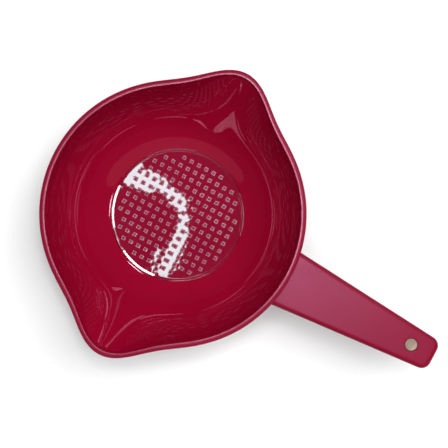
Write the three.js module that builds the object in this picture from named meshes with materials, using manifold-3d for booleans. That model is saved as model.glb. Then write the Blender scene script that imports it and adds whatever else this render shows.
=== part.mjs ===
// A strainer bowl: a round plastic bowl with two pouring spouts, a perforated plate that lifts out of
// its floor, and a hollow two-shell handle held by two screws at the bowl and a rivet at the tip.
//
// Millimetres, +Z up, +X along the handle, the foot ring standing on z = 0. Each piece is made with the
// bowl's axis at x = 0, and the exported group moves the whole so that its box is centred over the origin.

import * as THREE from "three";
import { mergeGeometries, mergeVertices } from "three/addons/utils/BufferGeometryUtils.js";
import Module from "manifold-3d";

const wasm = await Module();
wasm.setup();

// ---------------------------------------------------------------- driving dimensions

const GAP = 0.3; // clearance between pieces that touch
const RIM_RADIUS = 110; // outside of the rim bead
const RIM_HEIGHT = 80; // top of the rim bead
const HANDLE_REACH = 246; // bowl axis to handle tip
const WALL = 2.5; // bowl wall
const AROUND = 60; // facets around the bowl

// Rim bead
const BEAD_WIDTH = 4.2;
const BEAD_RISE = 2.4; // from the springing line of its rounded top to its highest point
const BEAD_DEPTH = 5.2; // height of the bead's outer face
const BEAD_SPRING = RIM_HEIGHT - BEAD_RISE;
const BEAD_STEPS = 6; // facets over the bead, an even number
const MOUTH_RADIUS = RIM_RADIUS - BEAD_WIDTH;

// Floor opening, with the ledge that carries the plate
const RECESS_RADIUS = 60.2;
const LEDGE_RADIUS = 56.5;
const LEDGE_TOP = 7.6;
const LEDGE_BOTTOM = 5;
const LIP_TOP = 10.6; // top of the recess, where a shallow slope leads up to the wall
const FLOOR_TOP = 11; // where the wall starts
const WALL_START = 62;
const WALL_TURN = 0.25; // angle at which the wall joins its ellipse; 0 would be its lowest point
const WALL_STEPS = 8; // facets up the wall

// Foot ring, with notches that let water run out
const FOOT_OUTER = 64.5;
const FOOT_INNER = 60.6;
const FOOT_EDGE = 0.6;
const NOTCHES = 4;
const NOTCH_WIDTH = 16;
const NOTCH_HEIGHT = 2.6;

// Pouring spouts, one on each side of the handle
const SPOUT_REACH = 20.6; // how far the rim runs out beyond its circle
const SPOUT_HALF_ANGLE = (13.3 * Math.PI) / 180; // the run-out is half as much this far off its middle
const SPOUT_START = 24; // height at which the wall begins to run out
const SPOUT_FLARE = 1.6; // power of the flare between there and the rim

// Strainer plate
const PLATE_RADIUS = RECESS_RADIUS - 0.4;
const PLATE_THICKNESS = 2.3;
const PLATE_BOTTOM = LEDGE_TOP + 0.2;
const PLATE_BORDER = 2.1; // width of the border, which slopes up
const PLATE_BORDER_RISE = 0.4;
const HOLE_PITCH = 7.5;
const HOLE_SIDE = 3.2;
const HOLE_FIELD = 7.2 * HOLE_PITCH; // hole centres lie within this radius

// Handle
const HANDLE_TOP = 76;
const HANDLE_BOTTOM = 64;
const HANDLE_SKIN = 2.5;
const HANDLE_SIDE = -3.4; // the handle's centre line lies this far to the side of the bowl's axis
const ROOT_HALF_WIDTH = 24.6; // at the rim
const TIP_HALF_WIDTH = 13.5;
const TIP_CORNER = 8;
const EDGE_ROUND = 3; // radius of the top edges
const ROOT_INSIDE = 20; // how far the blanks run into the bowl before they are cut to it
const COVER_THICKNESS = 3;
const COVER_TOP = HANDLE_BOTTOM + COVER_THICKNESS;

// Tang, moulded on the bowl, that the handle closes around
const TANG_END = 162;
const TANG_HALF_WIDTH = 14;
const TANG_TOP = HANDLE_TOP - HANDLE_SKIN - GAP;
const TANG_THICKNESS = 4.8;
const TANG_BOSS_RADIUS = 4.8;

// Handle screws
const SCREW_PLACES = [126, 150];
const SCREW_SHANK = 1.8;
const SCREW_HEAD = 3.5;
const SCREW_HEAD_HEIGHT = 1.7;
const SCREW_LENGTH = 8;
const COUNTERBORE = 4;
const COUNTERBORE_DEPTH = 1.8;
const CROSS_LENGTH = 3.8;
const CROSS_WIDTH = 0.9;
const CROSS_DEPTH = 0.9;

// Rivet and its washer
const RIVET_PLACE = 224.5;
const RIVET_HEAD = 5.1;
const RIVET_SHANK = 2.5;
const RIVET_TAIL = 3.7;
const RIVET_SEAT = 5.7; // radius of the seats in both shells
const SEAT_DEPTH = 1.3;
const RIVET_BOSS = 7.2;
const WASHER_THICKNESS = 0.8;

// ---------------------------------------------------------------- helpers

const RED = 0x8e0b2a;

/** The closed solid of a three.js geometry. */
function solidOf(geometry) {
  const bare = geometry.clone();
  bare.deleteAttribute("normal");
  bare.deleteAttribute("uv");
  const merged = mergeVertices(bare, 1e-3);
  return new wasm.Manifold(
    new wasm.Mesh({
      numProp: 3,
      vertProperties: new Float32Array(merged.attributes.position.array),
      triVerts: new Uint32Array(merged.index.array),
    }),
  );
}

/** A named, coloured three.js mesh of a solid. */
function piece(name, solid, color, roughness, metalness = 0) {
  const made = solid.getMesh();
  const geometry = new THREE.BufferGeometry();
  geometry.setAttribute("position", new THREE.BufferAttribute(made.vertProperties, made.numProp));
  geometry.setIndex(new THREE.BufferAttribute(made.triVerts, 1));
  geometry.computeVertexNormals();
  const mesh = new THREE.Mesh(geometry, new THREE.MeshStandardMaterial({ color, roughness, metalness }));
  mesh.name = name;
  return mesh;
}

/** A solid turned about the Z axis from points [radius, height], listed from the bottom up the outside. */
function turned(points, facets = AROUND, reshape = (v) => v) {
  const lathe = new THREE.LatheGeometry(points.map(([r, z]) => new THREE.Vector2(r, z)), facets);
  lathe.rotateX(Math.PI / 2);
  const position = lathe.attributes.position;
  const v = new THREE.Vector3();
  for (let i = 0; i < position.count; i++) {
    v.fromBufferAttribute(position, i);
    reshape(v);
    position.setXYZ(i, v.x, v.y, v.z);
  }
  return solidOf(lathe);
}

/** A round bar from one height to another, standing at x on the handle's centre line. */
function bar(x, radius, low, high, facets = 24) {
  const cylinder = new THREE.CylinderGeometry(radius, radius, high - low, facets);
  cylinder.rotateX(Math.PI / 2);
  cylinder.translate(x, HANDLE_SIDE, (low + high) / 2);
  return solidOf(cylinder);
}

/** A block centred at (x, y) from one height to another. */
function block(x, y, length, width, low, high, turn = 0) {
  const box = new THREE.BoxGeometry(length, width, high - low);
  box.rotateZ(turn);
  box.translate(x, y, (low + high) / 2);
  return solidOf(box);
}

/**
 * A flat outline about the handle's centre line, raised from one height to another, with its edges
 * rounded off if bevel is given.
 */
function raised(shape, low, high, bevel = 0) {
  const geometry = new THREE.ExtrudeGeometry(shape, {
    depth: high - low - 2 * bevel,
    curveSegments: 6,
    bevelEnabled: bevel > 0,
    bevelThickness: bevel,
    bevelSize: bevel,
    bevelOffset: -bevel,
    bevelSegments: 3,
  });
  geometry.translate(0, HANDLE_SIDE, low + bevel);
  return solidOf(geometry);
}

// ---------------------------------------------------------------- bowl

/** A point of the bowl's inner wall, which rises from the floor along an ellipse, moved out by `out`. */
function wallPoint(turn, out) {
  const across = (MOUTH_RADIUS - WALL_START) / (1 - Math.sin(WALL_TURN));
  const down = (BEAD_SPRING - FLOOR_TOP) / Math.cos(WALL_TURN);
  const normal = new THREE.Vector2(down * Math.sin(turn), -across * Math.cos(turn)).normalize();
  return [
    MOUTH_RADIUS - across * (1 - Math.sin(turn)) + out * normal.x,
    BEAD_SPRING - down * Math.cos(turn) + out * normal.y,
  ];
}

/** Points of the wall between two turns along its ellipse. */
function wallCurve(from, to, out) {
  const turn = (i) => from + ((to - from) * i) / WALL_STEPS;
  return Array.from({ length: WALL_STEPS + 1 }, (_, i) => wallPoint(turn(i), out));
}

/** The rounded top of the rim bead, from its outer face to its inner one, grown by `out`. */
function beadTop(out) {
  return Array.from({ length: BEAD_STEPS + 1 }, (_, i) => {
    const turn = (Math.PI * i) / BEAD_STEPS;
    return [
      RIM_RADIUS - BEAD_WIDTH / 2 + (BEAD_WIDTH / 2 + out) * Math.cos(turn),
      BEAD_SPRING + (BEAD_RISE + out) * Math.sin(turn),
    ];
  });
}

/** Runs the upper wall and the rim out into two pouring spouts, at +Y and -Y. */
function spouted(v) {
  if (v.z <= SPOUT_START) return;
  const off = Math.abs(Math.atan2(v.y, v.x)) - Math.PI / 2;
  const across = 0.5 ** ((off / SPOUT_HALF_ANGLE) ** 2);
  const up = Math.min(1, (v.z - SPOUT_START) / (BEAD_SPRING - SPOUT_START)) ** SPOUT_FLARE;
  const radius = Math.hypot(v.x, v.y);
  const grown = (radius + SPOUT_REACH * across * up) / radius;
  v.x *= grown;
  v.y *= grown;
}

/** The bowl's outer profile from the foot up to the bead, grown by `out`. */
function outerProfile(out) {
  const beadBottom = RIM_HEIGHT - BEAD_DEPTH;
  return [
    [FOOT_OUTER - FOOT_EDGE + out, 0],
    [FOOT_OUTER + out, FOOT_EDGE],
    ...wallCurve(WALL_TURN + 0.03, Math.PI / 2 - 0.045, WALL + out),
    [RIM_RADIUS - FOOT_EDGE + out, beadBottom - out],
    [RIM_RADIUS + out, beadBottom + FOOT_EDGE],
  ];
}

function bowl() {
  const shell = turned(
    [
      [FOOT_INNER + FOOT_EDGE, 0],
      ...outerProfile(0),
      ...beadTop(0),
      ...wallCurve(Math.PI / 2 - 0.12, WALL_TURN, 0),
      [RECESS_RADIUS, LIP_TOP],
      [RECESS_RADIUS, LEDGE_TOP],
      [LEDGE_RADIUS, LEDGE_TOP],
      [LEDGE_RADIUS, LEDGE_BOTTOM],
      [FOOT_INNER, LEDGE_BOTTOM],
      [FOOT_INNER, FOOT_EDGE],
      [FOOT_INNER + FOOT_EDGE, 0],
    ],
    AROUND,
    spouted,
  );
  const inside = turned([[0, FLOOR_TOP], ...wallCurve(WALL_TURN, Math.PI / 2, GAP), [0, BEAD_SPRING]]);
  const tangStart = MOUTH_RADIUS - TANG_THICKNESS;
  const tangMiddle = (tangStart + TANG_END) / 2;
  const tangLow = TANG_TOP - TANG_THICKNESS;
  let tang = block(tangMiddle, HANDLE_SIDE, TANG_END - tangStart, 2 * TANG_HALF_WIDTH, tangLow, TANG_TOP);
  for (const x of SCREW_PLACES) {
    tang = tang.add(bar(x, TANG_BOSS_RADIUS, COVER_TOP + GAP, TANG_TOP - 1));
  }
  let made = shell.add(tang.subtract(inside));
  for (const x of SCREW_PLACES) {
    made = made.subtract(bar(x, SCREW_SHANK + GAP, COVER_TOP, TANG_TOP - 0.8, 16));
  }
  for (let i = 0; i < NOTCHES; i++) {
    const turn = ((i + 0.5) * 2 * Math.PI) / NOTCHES;
    const [x, y] = [FOOT_OUTER * Math.cos(turn), FOOT_OUTER * Math.sin(turn)];
    made = made.subtract(block(x, y, 4 * WALL, NOTCH_WIDTH, -1, NOTCH_HEIGHT, turn));
  }
  return piece("bowl", made, RED, 0.16);
}

// ---------------------------------------------------------------- strainer plate

/** Square punches in rows along and across the handle, set half a pitch off the plate's centre. */
function punches(low, high) {
  const boxes = [];
  const reach = Math.ceil(HOLE_FIELD / HOLE_PITCH);
  for (let row = -reach; row < reach; row++) {
    for (let column = -reach; column < reach; column++) {
      const [x, y] = [(column + 0.5) * HOLE_PITCH, (row + 0.5) * HOLE_PITCH];
      if (Math.hypot(x, y) > HOLE_FIELD) continue;
      const box = new THREE.BoxGeometry(HOLE_SIDE, HOLE_SIDE, high - low);
      box.translate(x, y, (low + high) / 2);
      boxes.push(box);
    }
  }
  return solidOf(mergeGeometries(boxes));
}

function strainerPlate() {
  const top = PLATE_BOTTOM + PLATE_THICKNESS;
  const disc = turned([
    [0, PLATE_BOTTOM],
    [PLATE_RADIUS, PLATE_BOTTOM],
    [PLATE_RADIUS, top + PLATE_BORDER_RISE],
    [PLATE_RADIUS - PLATE_BORDER, top],
    [0, top],
  ]);
  return piece("strainer_plate", disc.subtract(punches(PLATE_BOTTOM - 1, top + 1)), RED, 0.16);
}

// ---------------------------------------------------------------- handle

/** The handle's outline seen from above, drawn in by `inset`, from inside the bowl to the rounded tip. */
function handleOutline(inset) {
  const slope = (ROOT_HALF_WIDTH - TIP_HALF_WIDTH) / (HANDLE_REACH - RIM_RADIUS);
  const halfWidth = (x) => ROOT_HALF_WIDTH - slope * (x - RIM_RADIUS) - inset;
  const start = RIM_RADIUS - ROOT_INSIDE;
  const tip = HANDLE_REACH - inset;
  const corner = TIP_CORNER - inset;
  const outline = new THREE.Shape();
  outline.moveTo(start, -halfWidth(start));
  outline.lineTo(tip - corner, -halfWidth(tip - corner));
  outline.quadraticCurveTo(tip, -halfWidth(tip), tip, corner - halfWidth(tip));
  outline.lineTo(tip, halfWidth(tip) - corner);
  outline.quadraticCurveTo(tip, halfWidth(tip), tip - corner, halfWidth(tip - corner));
  outline.lineTo(start, halfWidth(start));
  outline.closePath();
  return outline;
}

/** The space that the bowl takes, grown by the clearance, which both shells are cut back to. */
function bowlSpace() {
  const outerHalf = beadTop(GAP).slice(0, BEAD_STEPS / 2 + 1);
  return turned([[0, 0], ...outerProfile(GAP), ...outerHalf, [0, RIM_HEIGHT + GAP]]);
}

function handleTop() {
  const roof = HANDLE_TOP - HANDLE_SKIN;
  const shell = raised(handleOutline(0), HANDLE_BOTTOM - EDGE_ROUND, HANDLE_TOP, EDGE_ROUND)
    .subtract(block(HANDLE_REACH / 2, HANDLE_SIDE, 2 * HANDLE_REACH, 4 * ROOT_HALF_WIDTH, 0, HANDLE_BOTTOM))
    .subtract(raised(handleOutline(HANDLE_SKIN), 0, roof))
    .add(bar(RIVET_PLACE, RIVET_BOSS, COVER_TOP + GAP, roof + 1))
    .subtract(bar(RIVET_PLACE, RIVET_SHANK + GAP, 0, RIM_HEIGHT))
    .subtract(bar(RIVET_PLACE, RIVET_SEAT, HANDLE_TOP - SEAT_DEPTH, RIM_HEIGHT, 32))
    .subtract(bowlSpace());
  return piece("handle_top", shell, RED, 0.42);
}

function handleBottom() {
  let cover = raised(handleOutline(HANDLE_SKIN + GAP), HANDLE_BOTTOM, COVER_TOP)
    .subtract(bowlSpace())
    .subtract(bar(RIVET_PLACE, RIVET_SHANK + GAP, 0, RIM_HEIGHT))
    .subtract(bar(RIVET_PLACE, RIVET_SEAT, 0, HANDLE_BOTTOM + COUNTERBORE_DEPTH, 32));
  for (const x of SCREW_PLACES) {
    cover = cover
      .subtract(bar(x, SCREW_SHANK + GAP, 0, RIM_HEIGHT, 16))
      .subtract(bar(x, COUNTERBORE, 0, HANDLE_BOTTOM + COUNTERBORE_DEPTH));
  }
  return piece("handle_bottom", cover, RED, 0.42);
}

// ---------------------------------------------------------------- fasteners

/** A cross-head screw that goes up through the cover into the tang. */
function handleScrew(name, x) {
  const seat = HANDLE_BOTTOM + COUNTERBORE_DEPTH - 0.05;
  const low = seat - SCREW_HEAD_HEIGHT;
  const profile = [
    [0, low],
    [SCREW_HEAD - 0.8, low],
    [SCREW_HEAD, low + 0.7],
    [SCREW_HEAD, seat],
    [SCREW_SHANK, seat],
    [SCREW_SHANK, seat + SCREW_LENGTH - 2.2],
    [0.9, seat + SCREW_LENGTH - 1.4],
    [0, seat + SCREW_LENGTH - 1.4],
  ];
  const cross = block(0, 0, CROSS_LENGTH, CROSS_WIDTH, low - 1, low + CROSS_DEPTH).add(
    block(0, 0, CROSS_WIDTH, CROSS_LENGTH, low - 1, low + CROSS_DEPTH),
  );
  const screw = piece(name, turned(profile, 20).subtract(cross), 0xb4b6b8, 0.35, 1);
  screw.position.set(x, HANDLE_SIDE, 0);
  return screw;
}

function handleRivet() {
  const seat = HANDLE_TOP - SEAT_DEPTH + 0.1;
  const top = HANDLE_TOP - 0.15;
  const washerLow = HANDLE_BOTTOM + COUNTERBORE_DEPTH - 0.1 - WASHER_THICKNESS;
  const profile = [
    [0, HANDLE_BOTTOM + 0.15],
    [RIVET_TAIL - 0.5, HANDLE_BOTTOM + 0.15],
    [RIVET_TAIL, HANDLE_BOTTOM + 0.45],
    [RIVET_TAIL, washerLow - 0.1],
    [RIVET_SHANK, washerLow - 0.1],
    [RIVET_SHANK, seat],
    [RIVET_HEAD, seat],
    [RIVET_HEAD, top - 0.45],
    [RIVET_HEAD - 0.5, top],
    [0, top],
  ];
  const rivet = piece("handle_rivet", turned(profile, 32), 0xb79a82, 0.45, 0.8);
  rivet.position.set(RIVET_PLACE, HANDLE_SIDE, 0);
  return rivet;
}

function rivetWasher() {
  const high = HANDLE_BOTTOM + COUNTERBORE_DEPTH - 0.1;
  const ring = bar(RIVET_PLACE, RIVET_HEAD, high - WASHER_THICKNESS, high, 32).subtract(
    bar(RIVET_PLACE, RIVET_SHANK + GAP, 0, RIM_HEIGHT),
  );
  return piece("rivet_washer", ring, 0xb79a82, 0.45, 0.8);
}

// ---------------------------------------------------------------- assembly

const strainer = new THREE.Group();
strainer.add(
  bowl(),
  strainerPlate(),
  handleTop(),
  handleBottom(),
  handleScrew("handle_screw_inner", SCREW_PLACES[0]),
  handleScrew("handle_screw_outer", SCREW_PLACES[1]),
  handleRivet(),
  rivetWasher(),
);
strainer.position.x = -(HANDLE_REACH - RIM_RADIUS) / 2;

export default strainer;
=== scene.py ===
import math

import bmesh
import bpy
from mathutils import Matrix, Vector


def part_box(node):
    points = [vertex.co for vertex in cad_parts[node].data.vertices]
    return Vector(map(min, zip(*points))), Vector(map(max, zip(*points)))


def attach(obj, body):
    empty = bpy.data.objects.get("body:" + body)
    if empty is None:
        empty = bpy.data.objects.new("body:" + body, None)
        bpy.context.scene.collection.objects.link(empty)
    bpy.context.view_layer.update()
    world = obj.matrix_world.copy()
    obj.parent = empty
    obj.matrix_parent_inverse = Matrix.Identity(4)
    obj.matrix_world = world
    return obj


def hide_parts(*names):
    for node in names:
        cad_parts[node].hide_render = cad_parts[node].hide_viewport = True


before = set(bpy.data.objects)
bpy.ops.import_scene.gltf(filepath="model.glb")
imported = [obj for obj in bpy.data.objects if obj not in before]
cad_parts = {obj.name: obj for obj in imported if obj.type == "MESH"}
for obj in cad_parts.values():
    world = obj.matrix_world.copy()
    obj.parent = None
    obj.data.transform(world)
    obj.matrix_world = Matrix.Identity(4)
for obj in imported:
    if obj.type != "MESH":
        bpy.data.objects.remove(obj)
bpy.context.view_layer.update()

# The looks of a plastic strainer bowl. Shapes are written in millimetres with the bowl's axis at x = 0,
# as in the CAD, and moved to the row frame, in metres, when a piece is made.

# ------------------------------------------------------------------------------------- sizes, in mm

MM = 0.001
plate_low, plate_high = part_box("strainer_plate")
AXIS = Vector(((plate_low.x + plate_high.x) / 2, 0, 0))  # the bowl's axis in the row frame, in metres
AROUND = 360  # facets round the bowl, one a degree

RIM_RADIUS = 110
RIM_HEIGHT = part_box("bowl")[1].z / MM
WALL = 2.5
BEAD_WIDTH = 4.9
BEAD_RISE = 1.2  # from the bead's edges to its top
BEAD_CREST = 0.95  # from the bead's inner edge to its top, nearer than from its outer edge
BEAD_DEPTH = 5.2  # from the bead's top to its underside
BEAD_EDGE = 0.9  # rounding under the bead
BEAD_SATIN_END = 78  # degrees round the bead from its outer edge, where its satin outside ends
BEAD_SMOOTH_START = 84  # and where its smoother top starts and ends
BEAD_SMOOTH_END = 168
WALL_TOP = RIM_HEIGHT - 2.4  # where the wall would stand upright
MOUTH_RADIUS = RIM_RADIUS - BEAD_WIDTH
RECESS_RADIUS = 60.2
LIP_TOP = 10.6  # top of the recess, where a shallow slope leads up to the wall
WALL_START = 62
WALL_TURN = 0.25  # radians up the wall's ellipse from its lowest point, where the wall starts
FLOOR_TOP = 11
SEAM_EDGE = 0.08  # rounding of the edges on both sides of the seam round the plate
LEDGE_RADIUS = 56.5
LEDGE_TOP = 7.6
LEDGE_BOTTOM = 5
LEDGE_EDGE = 0.4
FOOT_INNER = 60.6
FOOT_OUTER = 64.5
FOOT_EDGE = 0.6
FOOT_TOP = 7.4
FOOT_FILLET = 1.2  # between the foot and the wall
NOTCHES = 4
NOTCH_HALF_ANGLE = math.radians(7.4)
NOTCH_SLOPE_ANGLE = math.radians(1)  # over which a notch's side rises
NOTCH_HEIGHT = 2.6
SPOUT_REACH = 20.6  # beyond the rim
SPOUT_HALF_ANGLE = math.radians(13.3)  # where a spout's reach has halved
SPOUT_START = 24  # height at which the spouts start
SPOUT_FLARE = 1.6  # the higher, the more of a spout's reach lies near the rim

PLATE_RADIUS = (plate_high.x - plate_low.x) / 2 / MM
PLATE_BOTTOM = plate_low.z / MM
PLATE_TOP = PLATE_BOTTOM + 2.3
PLATE_BORDER = 2.1
PLATE_BORDER_RISE = 0.4
PLATE_FOOT_EDGE = 0.35  # rounding under the plate's edge
HOLE_PITCH = 7.5
HOLE_FIELD = 7.2 * HOLE_PITCH  # radius within which the holes' middles lie
HOLE_SIDE = 3.2
HOLE_CORNER = 0.2
HOLE_LIP = 0.32  # width of the rounded lip round a hole
BORE_SIDE = 1.9  # the narrow bore below a hole's funnel
BORE_END_SIDE = 0.8  # at the plate's underside
BORE_TOP = 0.9  # above the plate's underside
BORE_SHIFT = (-0.18, -0.23)  # from the funnel's middle, along x and y

HANDLE_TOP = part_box("handle_top")[1].z / MM
HANDLE_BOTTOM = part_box("handle_top")[0].z / MM
HANDLE_REACH = (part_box("handle_top")[1].x - AXIS.x) / MM
ROOT_HALF_WIDTH = 24.6
TIP_HALF_WIDTH = 13.5
TIP_CORNER = 8
HANDLE_SKIN = 2.5
HANDLE_SIDE_MIDDLE = 68  # height of a ring between the handle's lower edge and its rounding
EDGE_WIDE = 4.2  # of the rounding round the handle's top
EDGE_DEEP = 3
EDGE_STEPS = 10
LOWER_EDGE = 0.35
SIDE_STEPS = 40  # points along a side of the handle, round a corner of its tip and along its root
CORNER_STEPS = 8
ROOT_STEPS = 24
GAP = 0.3  # between the handle and the bowl, and between its two shells
COVER_TOP = HANDLE_BOTTOM + 3
SEAT_RADIUS = 5.7  # of the recess round the rivet's head and tail
SEAT_DEPTH = 1.3
WELL_RADIUS = 4  # of the recess round a screw's head
WELL_DEPTH = 1.8
WELL_LIP = 0.25
SMALLEST_CORNER = 1.5  # of the handle's inside at its tip
SHANK_HOLE = 2.1  # radius of a screw's hole
RIVET_HOLE = SHANK_HOLE + 0.7

RIVET_SHANK = 2.5
RIVET_TAIL = 3.7
RIVET_TAIL_DEEP = 0.65
RIVET_DISH = 0.13  # how deep the head's flat middle lies below its edge
RIVET_AROUND = 64  # facets round the rivet and its washer
WASHER_EDGE = 0.2
SCREW_HEAD = 3.5
SCREW_HEAD_DEEP = 1.7
SCREW_SHANK = 1.8
SCREW_TIP = 0.7
THREAD_DEPTH = 0.25
THREAD_STEP = 0.35  # half the thread's pitch
THREAD_RINGS = 16
CROSS_TOP = (3.8, 0.95)  # length and width of a screw's cross at its mouth
CROSS_FLOOR = (2.6, 0.7)
CROSS_DEPTH = 0.9


def middle(node):
    """A node's centre, in millimetres from the bowl's axis."""
    low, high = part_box(node)
    return ((low + high) / 2 - AXIS) / MM


RIVET_X = middle("handle_rivet").x
HANDLE_SIDE = middle("handle_rivet").y  # the handle's centre line lies to one side of the bowl's axis
SCREW_XS = [middle("handle_screw_inner").x, middle("handle_screw_outer").x]

# ------------------------------------------------------------------------------------- mesh building


class Builder:
    """Builds one closed piece from rings of points."""

    def __init__(self):
        self.bm = bmesh.new()

    def ring(self, points):
        return [self.bm.verts.new(p) for p in points]

    def bridge(self, a, b, material=0):
        """A band of smooth quads between two rings of the same number of points."""
        n = len(a)
        for i in range(n):
            j = (i + 1) % n
            face = self.bm.faces.new((a[i], a[j], b[j], b[i]))
            face.smooth = True
            face.material_index = material

    def stack(self, rings, material=0):
        """Bands from each ring to the next; gives the first ring and the last."""
        made = [self.ring(points) for points in rings]
        for a, b in zip(made, made[1:]):
            self.bridge(a, b, material)
        return made[0], made[-1]

    def cap(self, rings):
        """A flat face inside the first ring and outside the others."""
        edges = []
        for ring in rings:
            for i, vert in enumerate(ring):
                after = ring[(i + 1) % len(ring)]
                edges.append(self.bm.edges.get((vert, after)) or self.bm.edges.new((vert, after)))
        filled = bmesh.ops.triangle_fill(self.bm, edges=edges, use_beauty=True)
        for face in filled["geom"]:
            if isinstance(face, bmesh.types.BMFace):
                face.smooth = True

    def piece(self, name, materials, sharp_degrees=32):
        """The finished object, moved to the row frame, with its edges sharp above an angle."""
        bmesh.ops.recalc_face_normals(self.bm, faces=self.bm.faces)
        bmesh.ops.scale(self.bm, vec=(MM, MM, MM), verts=self.bm.verts)
        bmesh.ops.translate(self.bm, vec=AXIS, verts=self.bm.verts)
        mesh = bpy.data.meshes.new(name)
        self.bm.to_mesh(mesh)
        self.bm.free()
        mesh.set_sharp_from_angle(angle=math.radians(sharp_degrees))
        for finish in materials:
            mesh.materials.append(finish)
        obj = bpy.data.objects.new(name, mesh)
        bpy.context.scene.collection.objects.link(obj)
        return obj


def settle(obj, node, body):
    """Puts a piece in place of its CAD node."""
    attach(obj, body)
    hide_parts(node)
    return obj


def arc(centre, radii, start, end, steps):
    """Points [radius, height] on an ellipse's arc, its angles in degrees."""
    points = []
    for i in range(steps + 1):
        turn = math.radians(start + (end - start) * i / steps)
        points.append((centre[0] + radii[0] * math.cos(turn), centre[1] + radii[1] * math.sin(turn)))
    return points


def rounded(radius, height, edge, start, end, steps=3):
    """Points [radius, height] on a rounded edge about a centre."""
    return arc((radius, height), (edge, edge), start, end, steps)


def circle(radius, height, x=0, y=0, around=48):
    """A level ring of points."""
    turns = (2 * math.pi * i / around for i in range(around))
    return [(x + radius * math.cos(t), y + radius * math.sin(t), height) for t in turns]


def turned(profile, x=0, y=0, around=48):
    """The level rings of a turned shape, one for each [radius, height]."""
    return [circle(radius, height, x, y, around) for radius, height in profile]


# ------------------------------------------------------------------------------------- materials


GLOSS_IOR = 1.62  # as of melamine
DULL_IOR = 1.49


def material(name, color, roughness):
    """A new principled material, with its node tree, its shader and its object coordinates."""
    made = bpy.data.materials.new(name)
    made.use_nodes = True
    tree = made.node_tree
    shader = tree.nodes["Principled BSDF"]
    shader.inputs["Base Color"].default_value = (*color, 1)
    shader.inputs["Roughness"].default_value = roughness
    place = tree.nodes.new("ShaderNodeTexCoord").outputs["Object"]
    return made, tree, shader, place


def noise(tree, place, scale, detail=2.0, stretch=(1, 1, 1)):
    """A noise between 0 and 1, its scale in cycles a metre."""
    mapping = tree.nodes.new("ShaderNodeMapping")
    mapping.inputs["Scale"].default_value = stretch
    tree.links.new(place, mapping.inputs["Vector"])
    texture = tree.nodes.new("ShaderNodeTexNoise")
    texture.inputs["Scale"].default_value = scale
    texture.inputs["Detail"].default_value = detail
    tree.links.new(mapping.outputs["Vector"], texture.inputs["Vector"])
    return texture.outputs["Fac"]


def spread(tree, value, low, high, from_low=0.3, from_high=0.7):
    """A noise moved into a range."""
    node = tree.nodes.new("ShaderNodeMapRange")
    node.inputs["From Min"].default_value = from_low
    node.inputs["From Max"].default_value = from_high
    node.inputs["To Min"].default_value = low
    node.inputs["To Max"].default_value = high
    tree.links.new(value, node.inputs["Value"])
    return node.outputs["Result"]


def two_tone(tree, shader, value, dark, light):
    """The base colour varies between two close colours."""
    ramp = tree.nodes.new("ShaderNodeValToRGB")
    ramp.color_ramp.elements[0].position = 0.35
    ramp.color_ramp.elements[1].position = 0.65
    ramp.color_ramp.elements[0].color = (*dark, 1)
    ramp.color_ramp.elements[1].color = (*light, 1)
    tree.links.new(value, ramp.inputs["Fac"])
    tree.links.new(ramp.outputs["Color"], shader.inputs["Base Color"])


def bump(tree, shader, height, depth, normal=None):
    """Relief of the given depth in metres, on top of another if one is given."""
    node = tree.nodes.new("ShaderNodeBump")
    node.inputs["Distance"].default_value = depth
    tree.links.new(height, node.inputs["Height"])
    if normal:
        tree.links.new(normal, node.inputs["Normal"])
    tree.links.new(node.outputs["Normal"], shader.inputs["Normal"])
    return node.outputs["Normal"]


def gloss_plastic(name):
    """Polished crimson plastic with a slight orange peel and fine handling marks."""
    made, tree, shader, place = material(name, (0.2, 0.001, 0.015), 0.03)
    shader.inputs["IOR"].default_value = GLOSS_IOR
    shader.inputs["Specular Tint"].default_value = (1, 0.6, 0.78, 1)
    two_tone(tree, shader, noise(tree, place, 14, 3), (0.192, 0.0009, 0.014), (0.208, 0.0012, 0.016))
    marks = noise(tree, place, 260, 4, stretch=(1, 0.12, 1))
    tree.links.new(spread(tree, marks, 0.02, 0.045, 0.45, 0.75), shader.inputs["Roughness"])
    bump(tree, shader, noise(tree, place, 90, 1), 4e-6)
    return made


def lattice(tree, place):
    """A height that is 1 over each hole of the plate and 0 along the lines halfway between them."""
    moved = tree.nodes.new("ShaderNodeVectorMath")
    moved.operation = "SUBTRACT"
    moved.inputs[1].default_value = AXIS
    tree.links.new(place, moved.inputs[0])
    split = tree.nodes.new("ShaderNodeSeparateXYZ")
    tree.links.new(moved.outputs["Vector"], split.inputs["Vector"])
    waves = []
    for axis in ("X", "Y"):
        angle = tree.nodes.new("ShaderNodeMath")
        angle.operation = "MULTIPLY"
        angle.inputs[1].default_value = math.pi / (HOLE_PITCH * MM)
        tree.links.new(split.outputs[axis], angle.inputs[0])
        wave = tree.nodes.new("ShaderNodeMath")
        wave.operation = "SINE"
        tree.links.new(angle.outputs["Value"], wave.inputs[0])
        waves.append(wave.outputs["Value"])
    product = tree.nodes.new("ShaderNodeMath")
    product.operation = "MULTIPLY"
    tree.links.new(waves[0], product.inputs[0])
    tree.links.new(waves[1], product.inputs[1])
    square = tree.nodes.new("ShaderNodeMath")
    square.operation = "POWER"
    square.inputs[1].default_value = 2
    tree.links.new(product.outputs["Value"], square.inputs[0])
    return square.outputs["Value"]


def plate_plastic(name):
    """The gloss plastic of the plate, whose skin has sunk a little round each hole in moulding."""
    made, tree, shader, place = material(name, (0.165, 0.0025, 0.0175), 0.03)
    shader.inputs["IOR"].default_value = GLOSS_IOR
    two_tone(tree, shader, noise(tree, place, 20, 3), (0.158, 0.0022, 0.0165), (0.172, 0.0029, 0.019))
    marks = noise(tree, place, 300, 4, stretch=(0.12, 1, 1))
    tree.links.new(spread(tree, marks, 0.015, 0.03, 0.45, 0.75), shader.inputs["Roughness"])
    sunk = bump(tree, shader, lattice(tree, place), 7e-6)
    bump(tree, shader, noise(tree, place, 90, 1), 2e-6, sunk)
    return made


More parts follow.
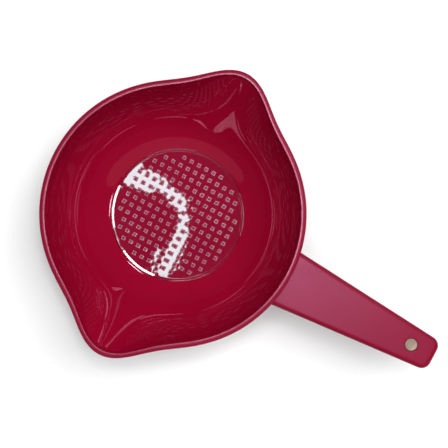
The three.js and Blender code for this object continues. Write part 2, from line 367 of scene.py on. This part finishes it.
def painted_light_hole_plastic(name):
    """The holes' sides, left dull by the pins of the mould; their pale pink is painted light, standing in
    for the light seen in the holes.
    """
    # painted light: a pale pink far lighter than the red plastic, for the light seen in the holes
    made, tree, shader, place = material(name, (0.69, 0.225, 0.35), 0.4)
    shader.inputs["IOR"].default_value = DULL_IOR
    two_tone(tree, shader, noise(tree, place, 900, 2), (0.65, 0.21, 0.33), (0.73, 0.24, 0.37))
    bump(tree, shader, noise(tree, place, 4000, 2), 6e-6)
    return made


def painted_shade_lip_plastic(name):
    """The lips and bores of the holes, painted dark as painted shade round and down the holes, and duller
    than the plate.
    """
    # painted shade: a near-black red for the dark outlines round the holes and the dark seen down the bores
    made, tree, shader, place = material(name, (0.05, 0.0006, 0.007), 0.3)
    shader.inputs["IOR"].default_value = DULL_IOR
    shader.inputs["Specular IOR Level"].default_value = 0.2
    two_tone(tree, shader, noise(tree, place, 700, 2), (0.044, 0.0005, 0.006), (0.056, 0.0007, 0.008))
    tree.links.new(spread(tree, noise(tree, place, 1200, 2), 0.25, 0.36), shader.inputs["Roughness"])
    return made


def satin_plastic(name):
    """Crimson plastic with the fine eroded grain of a textured mould."""
    made, tree, shader, place = material(name, (0.16, 0.0015, 0.0145), 0.33)
    shader.inputs["IOR"].default_value = DULL_IOR
    shader.inputs["Specular IOR Level"].default_value = 0.33
    shader.inputs["Specular Tint"].default_value = (1, 0.6, 1, 1)
    two_tone(tree, shader, noise(tree, place, 18, 3), (0.152, 0.0013, 0.0135), (0.168, 0.0018, 0.0155))
    tree.links.new(spread(tree, noise(tree, place, 60, 4), 0.3, 0.36), shader.inputs["Roughness"])
    bump(tree, shader, noise(tree, place, 2600, 2), 1.2e-5)
    return made


def rim_plastic(name):
    """The bead's plastic, between satin and polished, worn a little smoother in places."""
    made, tree, shader, place = material(name, (0.17, 0.002, 0.02), 0.26)
    shader.inputs["IOR"].default_value = GLOSS_IOR
    shader.inputs["Specular Tint"].default_value = (1, 0.75, 0.92, 1)
    two_tone(tree, shader, noise(tree, place, 18, 3), (0.162, 0.0017, 0.0185), (0.178, 0.0024, 0.0215))
    tree.links.new(spread(tree, noise(tree, place, 45, 3), 0.23, 0.3), shader.inputs["Roughness"])
    bump(tree, shader, noise(tree, place, 700, 2), 3e-6)
    return made


def rivet_metal(name):
    """Matte tan metal, faintly brushed across."""
    made, tree, shader, place = material(name, (0.29, 0.215, 0.165), 0.5)
    shader.inputs["Metallic"].default_value = 0.6
    brushed = noise(tree, place, 900, 4, stretch=(1, 0.1, 1))
    two_tone(tree, shader, brushed, (0.255, 0.19, 0.142), (0.325, 0.24, 0.187))
    tree.links.new(spread(tree, noise(tree, place, 1500, 3), 0.44, 0.58), shader.inputs["Roughness"])
    bump(tree, shader, noise(tree, place, 5000, 2, stretch=(1, 0.08, 1)), 6e-6)
    return made


def zinc_steel(name):
    """Bright plated steel with a faint grain."""
    made, tree, shader, place = material(name, (0.55, 0.55, 0.56), 0.3)
    shader.inputs["Metallic"].default_value = 1
    two_tone(tree, shader, noise(tree, place, 700, 3), (0.5, 0.5, 0.51), (0.62, 0.62, 0.62))
    tree.links.new(spread(tree, noise(tree, place, 2000, 3), 0.25, 0.4), shader.inputs["Roughness"])
    bump(tree, shader, noise(tree, place, 4000, 2), 5e-6)
    return made


GLOSS = gloss_plastic("gloss_red")
PLATE = plate_plastic("plate_red")
HOLE_SIDES_PAINTED_LIGHT = painted_light_hole_plastic("hole_painted_light")
HOLE_LIPS_PAINTED_SHADE = painted_shade_lip_plastic("lip_painted_shade")
SATIN = satin_plastic("satin_red")
RIM = rim_plastic("rim_red")
RIVET = rivet_metal("rivet_tan")
STEEL = zinc_steel("screw_steel")

# ------------------------------------------------------------------------------------- bowl


INSIDE, OUTSIDE, BEAD = range(3)  # the bowl's materials
UPRIGHT = math.pi / 2  # turn of the wall's ellipse at which it stands upright
INSIDE_STEPS = 60
OUTSIDE_STEPS = 36


def wall_point(turn, out=0.0):
    """A point of the inner wall, on its ellipse, moved out by a wall's thickness or less."""
    across = (MOUTH_RADIUS - WALL_START) / (1 - math.sin(WALL_TURN))
    down = (WALL_TOP - FLOOR_TOP) / math.cos(WALL_TURN)
    normal = Vector((down * math.sin(turn), -across * math.cos(turn))).normalized()
    radius = MOUTH_RADIUS - across * (1 - math.sin(turn)) + out * normal.x
    return radius, WALL_TOP - down * math.cos(turn) + out * normal.y


def wall_curve(start, end, steps, out=0.0):
    """Points along the wall between two turns of its ellipse."""
    return [wall_point(start + (end - start) * i / steps, out) for i in range(steps + 1)]


def outside_profile():
    """From the bowl's foot up its outside to the top of the bead."""
    bead_bottom = RIM_HEIGHT - BEAD_DEPTH
    return [
        *rounded(FOOT_INNER + FOOT_EDGE, FOOT_EDGE, FOOT_EDGE, 180, 270, 4),
        *rounded(FOOT_OUTER - FOOT_EDGE, FOOT_EDGE, FOOT_EDGE, 270, 360, 4),
        (FOOT_OUTER, NOTCH_HEIGHT),
        (FOOT_OUTER + 0.05, LEDGE_BOTTOM),
        (FOOT_OUTER + 0.15, FOOT_TOP),
        *rounded(FOOT_OUTER + 1.5, 8, FOOT_FILLET, 160, 110),
        *wall_curve(WALL_TURN + 0.07, UPRIGHT - 0.06, OUTSIDE_STEPS, WALL),
        *rounded(RIM_RADIUS - BEAD_EDGE, bead_bottom + BEAD_EDGE, BEAD_EDGE, -70, -10, 5),
        *bead_profile(0, BEAD_SATIN_END, 13),
    ]


def bead_profile(start, end, steps):
    """Over the bead, between angles that run from 0 at its outer edge to 180 at its inner edge."""
    crest = (MOUTH_RADIUS + BEAD_CREST, RIM_HEIGHT - BEAD_RISE)
    outer = arc(crest, (BEAD_WIDTH - BEAD_CREST, BEAD_RISE), start, end, steps)
    inner = arc(crest, (BEAD_CREST, BEAD_RISE), start, end, steps)
    return [a if a[0] > crest[0] else b for a, b in zip(outer, inner)]


def lip_height(radius):
    """The shallow slope round the plate."""
    return LIP_TOP + (FLOOR_TOP - LIP_TOP) * (radius - RECESS_RADIUS) / (WALL_START - RECESS_RADIUS)


def inside_profile():
    """From the bead's inner edge down the wall, round the ledge and back to the foot."""
    return [
        (MOUTH_RADIUS, RIM_HEIGHT - BEAD_RISE),
        *wall_curve(UPRIGHT - 0.03, WALL_TURN, INSIDE_STEPS),
        (WALL_START - 0.15, lip_height(WALL_START - 0.15)),
        (RECESS_RADIUS + 0.3, lip_height(RECESS_RADIUS + 0.3)),
        *rounded(RECESS_RADIUS + SEAM_EDGE, LIP_TOP - 0.07, SEAM_EDGE, 100, 180, 4),
        (RECESS_RADIUS, LEDGE_TOP),
        *rounded(LEDGE_RADIUS + LEDGE_EDGE, LEDGE_TOP - LEDGE_EDGE, LEDGE_EDGE, 90, 180),
        *rounded(LEDGE_RADIUS + LEDGE_EDGE, LEDGE_BOTTOM + LEDGE_EDGE, LEDGE_EDGE, 180, 270),
        (FOOT_INNER, LEDGE_BOTTOM),
        (FOOT_INNER, NOTCH_HEIGHT),
    ]


def smooth_step(x):
    """Rises smoothly from 0 to 1."""
    x = min(max(x, 0), 1)
    return x * x * (3 - 2 * x)


def bowl_point(radius, height, turn):
    """Where a point of the bowl's profile lies at an angle, with the spouts and the foot's notches."""
    if height > SPOUT_START:
        off = abs(math.atan2(math.sin(turn), math.cos(turn))) - math.pi / 2
        across = 0.5 ** (off / SPOUT_HALF_ANGLE) ** 2
        up = min(1, (height - SPOUT_START) / (WALL_TOP - SPOUT_START)) ** SPOUT_FLARE
        radius += SPOUT_REACH * across * up
    if height < NOTCH_HEIGHT:
        span = 2 * math.pi / NOTCHES
        from_notch = abs((turn % span) - span / 2)
        inside = smooth_step((NOTCH_HALF_ANGLE - from_notch) / NOTCH_SLOPE_ANGLE + 0.5)
        height += (NOTCH_HEIGHT - height) * inside
    return radius * math.cos(turn), radius * math.sin(turn), height


def bowl_rings(profile):
    """The bowl's ring for each [radius, height] of a profile."""
    turns = [2 * math.pi * i / AROUND for i in range(AROUND)]
    return [[bowl_point(r, z, t) for t in turns] for r, z in profile]


def make_bowl():
    """Satin outside, smoother over the top of the bead and polished inside."""
    build = Builder()
    first, shoulder = build.stack(bowl_rings(outside_profile()), OUTSIDE)
    over_bead = bead_profile(BEAD_SMOOTH_START, BEAD_SMOOTH_END, 14)
    outer, inner = build.stack(bowl_rings(over_bead), BEAD)
    wall, last = build.stack(bowl_rings(inside_profile()), INSIDE)
    build.bridge(shoulder, outer, BEAD)
    build.bridge(inner, wall, BEAD)
    build.bridge(last, first, OUTSIDE)
    settle(build.piece("bowl_moulding", [GLOSS, SATIN, RIM]), "bowl", "bowl")


# ------------------------------------------------------------------------------------- strainer plate


SQUARE_CORNER_STEPS = 3


def square(x, y, side, height, corner):
    """A ring round a square with rounded corners."""
    points = []
    for quarter in range(4):
        turn = math.pi / 2 * quarter
        cx = math.cos(turn + math.pi / 4) * (side / 2 - corner) * math.sqrt(2)
        cy = math.sin(turn + math.pi / 4) * (side / 2 - corner) * math.sqrt(2)
        for step in range(SQUARE_CORNER_STEPS + 1):
            bend = turn + math.pi / 2 * step / SQUARE_CORNER_STEPS
            points.append((x + cx + corner * math.cos(bend), y + cy + corner * math.sin(bend), height))
    return points


def hole_places():
    """The middles of the holes, on a square grid about the axis, inside a circle."""
    reach = math.ceil(HOLE_FIELD / HOLE_PITCH)
    steps = [(i + 0.5) * HOLE_PITCH for i in range(-reach, reach)]
    return [(x, y) for x in steps for y in steps if math.hypot(x, y) <= HOLE_FIELD]


# the sides carry painted light, a pale pink for the light seen in the holes; the lips and bores carry
# painted shade
SKIN, SIDES, LIPS = range(3)  # the plate's materials
LIP_BENDS = (0, 0.5, 1.05, math.pi / 2)  # radians round a hole's lip, from the hole's side


def make_hole(build, x, y):
    """A hole with a rounded lip, a funnel and an off-centre bore; gives its rings in the two faces."""
    outline_side = HOLE_SIDE + 2 * HOLE_LIP + 0.3
    upper = build.ring(square(x, y, outline_side, PLATE_TOP, HOLE_CORNER + HOLE_LIP + 0.1))
    lip = [(HOLE_LIP * (1 - math.sin(bend)), HOLE_LIP * (1 - math.cos(bend))) for bend in LIP_BENDS]
    rings = [square(x, y, HOLE_SIDE + 2 * out, PLATE_TOP - down, HOLE_CORNER + out) for out, down in lip]
    # the lips carry the painted shade
    brink, throat = build.stack(rings, LIPS)
    build.bridge(upper, brink, SKIN)
    bore = (x + BORE_SHIFT[0], y + BORE_SHIFT[1])
    bore_top = square(*bore, BORE_SIDE, PLATE_BOTTOM + BORE_TOP, HOLE_CORNER)
    bore_end = square(*bore, BORE_END_SIDE, PLATE_BOTTOM, HOLE_CORNER)
    # the bores carry the painted shade too
    funnel, lower = build.stack([bore_top, bore_end], LIPS)
    # the funnel's sides take the pale pink painted light
    build.bridge(throat, funnel, SIDES)
    return upper, lower


def make_plate():
    """A disc with rounded square holes and a border that slopes up."""
    field = PLATE_RADIUS - PLATE_BORDER
    crest = PLATE_TOP + PLATE_BORDER_RISE
    slope = PLATE_BORDER_RISE / PLATE_BORDER
    border = [
        (field - 0.5, PLATE_TOP),
        (field - 0.04, PLATE_TOP),
        (field + 0.01, PLATE_TOP + slope * 0.01),
        (field + 0.06, PLATE_TOP + slope * 0.06),
        (PLATE_RADIUS - 0.5, crest - slope * 0.5),
        (PLATE_RADIUS - 0.2, crest - slope * 0.2),
        *rounded(PLATE_RADIUS - SEAM_EDGE, crest - SEAM_EDGE, SEAM_EDGE, 95, 0, 5),
        *rounded(PLATE_RADIUS - PLATE_FOOT_EDGE, PLATE_BOTTOM + PLATE_FOOT_EDGE, PLATE_FOOT_EDGE, 0, -90),
    ]
    build = Builder()
    top, bottom = build.stack(turned(border, around=AROUND))
    tops, bottoms = [top], [bottom]
    for x, y in hole_places():
        upper, lower = make_hole(build, x, y)
        tops.append(upper)
        bottoms.append(lower)
    build.cap(tops)
    build.cap(bottoms)
    plate = build.piece("strainer_plate_moulding", [PLATE, HOLE_SIDES_PAINTED_LIGHT, HOLE_LIPS_PAINTED_SHADE], 40)
    settle(plate, "strainer_plate", "plate")


# ------------------------------------------------------------------------------------- handle


def bowl_reach(height):
    """The bowl's outer radius on the handle's side, with the clearance, at a height."""
    bead_bottom = RIM_HEIGHT - BEAD_DEPTH
    if height >= bead_bottom - GAP:
        return RIM_RADIUS + GAP
    down = (WALL_TOP - FLOOR_TOP) / math.cos(WALL_TURN)
    return wall_point(math.acos((WALL_TOP - height) / down), WALL + GAP)[0]


def handle_ring(inset, height):
    """A level ring round the handle, drawn in by `inset`, ending against the bowl."""
    slope = (ROOT_HALF_WIDTH - TIP_HALF_WIDTH) / (HANDLE_REACH - RIM_RADIUS)
    lean = math.atan(slope)
    reach = bowl_reach(height) + (inset if inset > EDGE_WIDE else 0)
    corner = max(TIP_CORNER - inset, SMALLEST_CORNER)
    corner_x = HANDLE_REACH - inset - corner

    def half_width(x):
        return ROOT_HALF_WIDTH - slope * (x - RIM_RADIUS) - inset / math.cos(lean)

    def edge(side):
        """From the bowl to the tip along the +Y side, 1, or the -Y side, -1."""
        start = reach
        for _ in range(8):  # settles on the place where the edge meets the bowl
            start = math.sqrt(reach**2 - (HANDLE_SIDE + side * half_width(start)) ** 2)
        bend_x = corner_x + corner * math.sin(lean)
        straight = [start + (bend_x - start) * i / SIDE_STEPS for i in range(SIDE_STEPS)]
        points = [(x, HANDLE_SIDE + side * half_width(x), height) for x in straight]
        corner_y = half_width(corner_x) - corner / math.cos(lean)
        for i in range(CORNER_STEPS + 1):
            turn = (math.pi / 2 - lean) * (1 - i / CORNER_STEPS)
            out_y = corner_y + corner * math.sin(turn)
            points.append((corner_x + corner * math.cos(turn), HANDLE_SIDE + side * out_y, height))
        return points

    left, right = edge(1), edge(-1)
    root_from = math.atan2(right[0][1], right[0][0])
    root_to = math.atan2(left[0][1], left[0][0])
    root = (root_from + (root_to - root_from) * i / ROOT_STEPS for i in range(1, ROOT_STEPS))
    return left + right[::-1] + [(reach * math.cos(t), reach * math.sin(t), height) for t in root]


def well(build, x, radius, face, floor, hole, far):
    """A round well in a face, with a rounded lip and a through hole in its floor; gives its end rings."""
    down = 1 if face > floor else -1
    profile = [
        (radius + 0.6, face),
        (radius + WELL_LIP, face),
        (radius + 0.08, face - 0.08 * down),
        (radius, face - WELL_LIP * down),
        (radius, floor),
        (hole, floor),
        (hole, far),
    ]
    return build.stack(turned(profile, x, HANDLE_SIDE))


def make_handle_top():
    """The satin upper shell, with the rivet's seat."""
    roof = HANDLE_TOP - HANDLE_SKIN
    bends = [math.pi / 2 * i / EDGE_STEPS for i in range(EDGE_STEPS + 1)]
    rounding = [(EDGE_WIDE * (1 - math.cos(a)), HANDLE_TOP - EDGE_DEEP * (1 - math.sin(a))) for a in bends]
    outside = [
        (LOWER_EDGE, HANDLE_BOTTOM),
        (0.1, HANDLE_BOTTOM + 0.1),
        (0, HANDLE_BOTTOM + LOWER_EDGE),
        (0, HANDLE_SIDE_MIDDLE),
        *rounding,
        (EDGE_WIDE + 0.8, HANDLE_TOP),
    ]
    inside = [(HANDLE_SKIN, roof), (HANDLE_SKIN, HANDLE_BOTTOM)]
    build = Builder()
    low, high = build.stack([handle_ring(inset, height) for inset, height in outside])
    ceiling, lip = build.stack([handle_ring(inset, height) for inset, height in inside])
    seat, under = well(build, RIVET_X, SEAT_RADIUS, HANDLE_TOP, HANDLE_TOP - SEAT_DEPTH, RIVET_HOLE, roof)
    build.bridge(lip, low)
    build.cap([high, seat])
    build.cap([ceiling, under])
    settle(build.piece("handle_upper_shell", [SATIN], 40), "handle_top", "bowl")


def make_handle_bottom():
    """The cover that closes the handle from beneath, with wells for the screws and the rivet's washer."""
    inset = HANDLE_SKIN + GAP
    sides = [
        (inset + 0.3, HANDLE_BOTTOM),
        (inset + 0.08, HANDLE_BOTTOM + 0.08),
        (inset, HANDLE_BOTTOM + 0.3),
        (inset, COVER_TOP),
    ]
    build = Builder()
    low, high = build.stack([handle_ring(drawn_in, height) for drawn_in, height in sides])
    lows, highs = [low], [high]
    wells = [(x, WELL_RADIUS, SHANK_HOLE) for x in SCREW_XS] + [(RIVET_X, SEAT_RADIUS, RIVET_HOLE)]
    for x, radius, hole in wells:
        mouth, far = well(build, x, radius, HANDLE_BOTTOM, HANDLE_BOTTOM + WELL_DEPTH, hole, COVER_TOP)
        lows.append(mouth)
        highs.append(far)
    build.cap(lows)
    build.cap(highs)
    settle(build.piece("handle_lower_cover", [SATIN], 40), "handle_bottom", "bowl")


# ------------------------------------------------------------------------------------- fasteners


def make_rivet():
    """A flat head with a rounded, slightly raised edge, a shank and a set tail."""
    low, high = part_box("handle_rivet")
    bottom, top = low.z / MM, high.z / MM
    head = (high.x - low.x) / 2 / MM
    seat = HANDLE_TOP - SEAT_DEPTH + 0.1
    tail = bottom + RIVET_TAIL_DEEP
    profile = [
        *rounded(RIVET_TAIL - 0.5, bottom + 0.5, 0.5, -90, 0, 4),
        (RIVET_TAIL, tail),
        (RIVET_SHANK, tail),
        (RIVET_SHANK, seat),
        (head, seat),
        *arc((head - 0.55, top - 0.5), (0.55, 0.5), 0, 90, 5),
        (head - 0.95, top - 0.02),
        (head - 1.2, top - 0.12),
        (2.4, top - RIVET_DISH),
        (1.0, top - RIVET_DISH),
    ]
    build = Builder()
    first, last = build.stack(turned(profile, RIVET_X, HANDLE_SIDE, RIVET_AROUND))
    build.cap([first])
    build.cap([last])
    settle(build.piece("rivet", [RIVET]), "handle_rivet", "bowl")


def make_washer():
    """A flat washer with rounded edges."""
    low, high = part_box("rivet_washer")
    bottom, top = low.z / MM, high.z / MM
    outer = (high.x - low.x) / 2 / MM - WASHER_EDGE
    inner = RIVET_HOLE + WASHER_EDGE
    profile = [
        *rounded(outer, bottom + WASHER_EDGE, WASHER_EDGE, -90, 0),
        *rounded(outer, top - WASHER_EDGE, WASHER_EDGE, 0, 90),
        *rounded(inner, top - WASHER_EDGE, WASHER_EDGE, 90, 180),
        *rounded(inner, bottom + WASHER_EDGE, WASHER_EDGE, 180, 270),
    ]
    build = Builder()
    first, last = build.stack(turned(profile, RIVET_X, HANDLE_SIDE, RIVET_AROUND))
    build.bridge(last, first)
    settle(build.piece("washer", [RIVET]), "rivet_washer", "bowl")


def cross_ring(x, length, width, height):
    """A ring round a cross."""
    a, b = length / 2, width / 2
    quarter = [(a, b), (b, b), (b, a)]
    points = []
    for turn in range(4):
        c, s = math.cos(turn * math.pi / 2), math.sin(turn * math.pi / 2)
        points += [(x + px * c - py * s, HANDLE_SIDE + px * s + py * c, height) for px, py in quarter]
    return points


def make_screw(node, x):
    """A cross-head screw, its head down in the cover's well."""
    low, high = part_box(node)
    bottom, top = low.z / MM, high.z / MM
    seat = bottom + SCREW_HEAD_DEEP
    ridges = range(THREAD_RINGS)
    thread = [(SCREW_SHANK - THREAD_DEPTH * (i % 2), seat + 0.4 + THREAD_STEP * i) for i in ridges]
    profile = [
        *arc((SCREW_HEAD - 1.1, bottom + 0.8), (1.1, 0.8), -90, 0, 6),
        (SCREW_HEAD, seat),
        (SCREW_SHANK, seat),
        *thread,
        (SCREW_TIP, top),
    ]
    build = Builder()
    first, last = build.stack(turned(profile, x, HANDLE_SIDE))
    cross = [cross_ring(x, *CROSS_TOP, bottom), cross_ring(x, *CROSS_FLOOR, bottom + CROSS_DEPTH)]
    mouth, floor = build.stack(cross)
    build.cap([first, mouth])
    build.cap([floor])
    build.cap([last])
    settle(build.piece(node + "_metal", [STEEL], 25), node, "bowl")


# ------------------------------------------------------------------------------------- stage and lights


FLOOR_REACH = 4  # metres each way
BACKDROP_RADIUS = 2200  # mm, as Builder takes it
BACKDROP_HEIGHT = 3000


def make_floor():
    """A plain pale floor, dull so that it mirrors nothing."""
    mesh = bpy.data.meshes.new("floor")
    reach = FLOOR_REACH
    corners = [(-reach, -reach, 0), (reach, -reach, 0), (reach, reach, 0), (-reach, reach, 0)]
    mesh.from_pydata(corners, [], [(0, 1, 2, 3)])
    floor = bpy.data.objects.new("floor", mesh)
    bpy.context.scene.collection.objects.link(floor)
    made, _, shader, _ = material("floor_pale", (0.7, 0.7, 0.7), 0.9)
    mesh.materials.append(made)
    shader.inputs["Specular IOR Level"].default_value = 0.1


def make_backdrop():
    """A pale round wall behind the object in low views, which neither lights it nor shows in its gloss."""
    made, _, shader, _ = material("backdrop_pale", (0, 0, 0), 1)
    shader.inputs["Emission Color"].default_value = (0.78, 0.78, 0.78, 1)
    shader.inputs["Emission Strength"].default_value = 1
    build = Builder()
    build.stack([circle(BACKDROP_RADIUS, height, around=AROUND) for height in (0, BACKDROP_HEIGHT)])
    wall = build.piece("backdrop", [made])
    wall.visible_diffuse = False
    wall.visible_glossy = False
    wall.visible_shadow = False


CAMERA_TURN = math.radians(27.9)
CAMERA_PLACE = AXIS + Vector((0.041, 0.0124, 0.753))  # metres, to the handle's side of the bowl's axis
VIEW_HALF_WIDTH = 0.1839  # half the picture's width at the height of the rim, in metres
SENSOR_WIDTH = 36  # mm
LIGHT_HEIGHT = 1.5  # of the lights that show in the gloss
MIRRORED = (-0.127, 0.027)  # the place at that height that the plate's middle mirrors, right and up
MIRRORED_BY_BORDER = 0.394  # how far from it the places are that the plate's sloping border mirrors
OVERHEAD_REACH = 0.3  # how far from it the overhead windows are
BAND_BRIGHTNESS = 14
JOIN_BRIGHTNESS = 9
BAND_COLOR = (0.72, 1, 1.04)
KEY_POWER = 22  # watts, as the two below
FILL_POWER = 7.5
SIDE_POWER = 10
SIDE_LIGHTS = 4
WORLD_GREY = 0.035


def seen_from_camera(right, up, height):
    """A place given to the right of and above the picture's middle, in metres, at a height."""
    c, s = math.cos(CAMERA_TURN), math.sin(CAMERA_TURN)
    return Vector((CAMERA_PLACE.x + right * c - up * s, CAMERA_PLACE.y + right * s + up * c, height))


def from_mirrored(reach, turn):
    """A place right and up, at a distance and an angle from the one that the plate's middle mirrors."""
    return MIRRORED[0] + reach * math.cos(turn), MIRRORED[1] + reach * math.sin(turn)


def area_light(name, place, target, size, power, shape, in_gloss=True):
    """An area light of a power in watts; the soft ones don't show in the gloss."""
    light = bpy.data.lights.new(name, "AREA")
    light.shape = shape
    light.size, light.size_y = size
    light.energy = power
    lamp = bpy.data.objects.new(name, light)
    lamp.location = place
    lamp.rotation_euler = (Vector(target) - place).to_track_quat("-Z", "Y").to_euler()
    lamp.visible_glossy = in_gloss
    bpy.context.scene.collection.objects.link(lamp)
    return lamp


def strip_light(name, places, width, brightness=BAND_BRIGHTNESS):
    """A bent strip of cool light facing down, through places given right and up as seen from the camera."""
    for i, (start, end) in enumerate(zip(places, places[1:])):
        a = seen_from_camera(*start, LIGHT_HEIGHT)
        b = seen_from_camera(*end, LIGHT_HEIGHT)
        halfway, along = (a + b) / 2, b - a
        power = brightness * math.pi * along.length * width
        below = halfway - Vector((0, 0, 1))
        lamp = area_light(f"{name}_{i}", halfway, below, (along.length, width), power, "RECTANGLE")
        lamp.data.color = BAND_COLOR
        lamp.rotation_euler = (0, 0, math.atan2(along.y, along.x))


def window_light(name, right, up, size, turn, brightness):
    """A level oval of light facing down, turned by degrees, its size given along and across the turn."""
    place = seen_from_camera(right, up, LIGHT_HEIGHT)
    area = size[0] * size[1] * (math.pi / 4)
    power = brightness * math.pi * area
    lamp = area_light(name, place, place - Vector((0, 0, 1)), size, power, "ELLIPSE")
    lamp.rotation_euler = (0, 0, CAMERA_TURN + math.radians(turn))


def make_world():
    """A faint even light from all round."""
    world = bpy.data.worlds.new("studio")
    bpy.context.scene.world = world
    world.use_nodes = True
    background = world.node_tree.nodes["Background"]
    background.inputs["Color"].default_value = (WORLD_GREY, WORLD_GREY, WORLD_GREY, 1)


def make_strips():
    """The bent band of light mirrored in the plate, and the thin line that joins the arcs round it."""
    strip_light("strip_left", [(-0.275, 0.123), (-0.19, 0.100)], 0.03)
    strip_light("strip_tip", [(-0.255, 0.138), (-0.229, 0.166)], 0.018)
    upper = [(-0.246, 0.140), (-0.179, 0.116), (-0.125, 0.064), (-0.103, 0.037)]
    strip_light("strip_upper", upper, 0.034)
    lower = [(-0.11, 0.026), (-0.112, -0.021), (-0.127, -0.052), (-0.17, -0.138)]
    strip_light("strip_lower", lower, 0.03)
    strip_light("strip_thin_left", [(-0.177, -0.069), (-0.2, -0.135)], 0.007)
    strip_light("strip_thin_right", [(-0.105, -0.062), (-0.134, -0.125)], 0.005)
    joined = [from_mirrored(MIRRORED_BY_BORDER, math.radians(turn)) for turn in range(4, 40, 7)]
    strip_light("strip_join", joined, 0.004, brightness=JOIN_BRIGHTNESS)


def make_windows():
    """The windows mirrored as arcs round the plate, as lines in the wall and as a glow near the plate."""
    window_light("window_low", 0.25, -0.026, (0.24, 0.26), 0, brightness=23)
    window_light("window_high", 0.113, 0.326, (0.24, 0.24), 51, brightness=28)
    window_light("wall_glow", -0.05, -0.9, (2.9, 1.3), 0, brightness=0.22)
    for i, turn in enumerate((100, 180, 280)):
        place = from_mirrored(OVERHEAD_REACH, math.radians(turn))
        window_light(f"top_{i}", *place, (0.14, 0.2), turn, brightness=34)


def make_soft_lights():
    """A key, a fill from above and four side lights, which don't show in the gloss."""
    centre = Vector((AXIS.x, 0, 0.05))
    key, fill = seen_from_camera(0.6, 0.38, 1.5), seen_from_camera(0, 0, 2.2)
    area_light("key", key, centre, (1, 1), KEY_POWER, "SQUARE", in_gloss=False)
    area_light("fill", fill, centre, (3.4, 3.4), FILL_POWER, "SQUARE", in_gloss=False)
    for i in range(SIDE_LIGHTS):
        turn = 2 * math.pi / SIDE_LIGHTS * (i + 0.5)
        place = seen_from_camera(2 * math.cos(turn), 2 * math.sin(turn), 1.3)
        area_light(f"side_{i}", place, centre, (1.6, 1.6), SIDE_POWER, "SQUARE", in_gloss=False)


def make_camera():
    """Straight above, turned as the photo is."""
    data = bpy.data.cameras.new("camera")
    camera = bpy.data.objects.new("camera", data)
    bpy.context.scene.collection.objects.link(camera)
    camera.location = CAMERA_PLACE
    camera.rotation_euler = (0, 0, CAMERA_TURN)
    data.sensor_width = SENSOR_WIDTH
    data.lens = SENSOR_WIDTH / 2 * (CAMERA_PLACE.z - RIM_HEIGHT * MM) / VIEW_HALF_WIDTH
    data.clip_start = 0.01
    bpy.context.scene.camera = camera


bpy.context.scene.view_settings.view_transform = "Standard"

make_camera()
make_bowl()
make_plate()
make_handle_top()
make_handle_bottom()
make_rivet()
make_washer()
make_screw("handle_screw_inner", SCREW_XS[0])
make_screw("handle_screw_outer", SCREW_XS[1])
make_floor()
make_backdrop()
make_world()
make_strips()
make_windows()
make_soft_lights()
